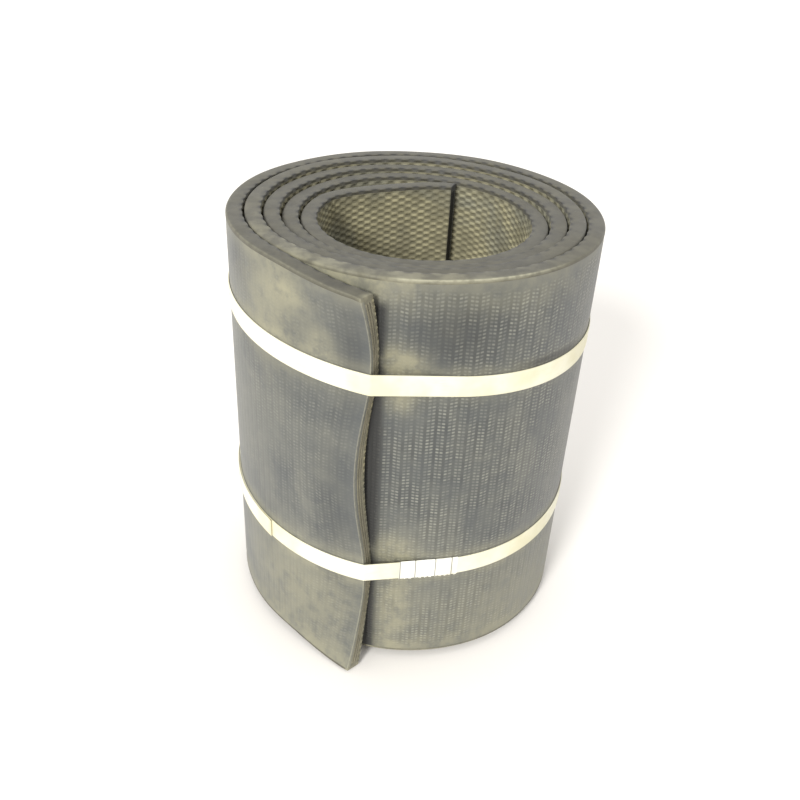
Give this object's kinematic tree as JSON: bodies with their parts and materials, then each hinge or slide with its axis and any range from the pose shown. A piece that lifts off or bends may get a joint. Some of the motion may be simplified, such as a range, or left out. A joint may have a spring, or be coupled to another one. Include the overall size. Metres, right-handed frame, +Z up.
{
  "type": "rubber expansion joint belting roll",
  "caption": "Roll of thick fabric-reinforced rubber expansion-joint belting, wound into a coil, standing on its end and held by flat plastic packing straps.",
  "frame": {"origin": "middle of the roll's footprint, on the surface it stands on", "axes": "+Z up along the roll's winding axis; -Y towards the outer free end of the strip; +X to the right when facing that end"},
  "size_m": [0.2142, 0.2244, 0.256],
  "materials": {
    "cover_rubber": "dusty matt grey-black rubber with a fabric impression",
    "ply_fabric": "tan woven reinforcement",
    "skim_rubber": "plain black bonding rubber",
    "edge_rubber": "smooth moulded edge, dusty",
    "woven_face": "coarse weave soaked in rubber, khaki dust on its crowns",
    "strap_plastic": "cream embossed polypropylene strapping",
    "tape_plastic": "white film tape, creased"
  },
  "bodies": {
    "belting": {"outer_cover": "cover_rubber", "fabric_ply_1": "ply_fabric", "skim_rubber_1": "skim_rubber", "fabric_ply_2": "ply_fabric", "skim_rubber_2": "skim_rubber", "fabric_ply_3": "ply_fabric", "edge_rubber_lower": "edge_rubber", "edge_rubber_upper": "edge_rubber", "inner_woven_face": "woven_face"},
    "upper_strap_band": {"upper_strap": "strap_plastic"},
    "lower_strap_band": {"lower_strap": "strap_plastic", "strap_tape": "tape_plastic"}
  },
  "joints": [
    {"name": "upper_strap_slide", "type": "slide", "parent": "belting", "child": "upper_strap_band", "axis": [0, 0, 1], "range_m": [-0.006, 0.006]},
    {"name": "lower_strap_slide", "type": "slide", "parent": "belting", "child": "lower_strap_band", "axis": [0, 0, 1], "range_m": [-0.006, 0.006]}
  ]
}
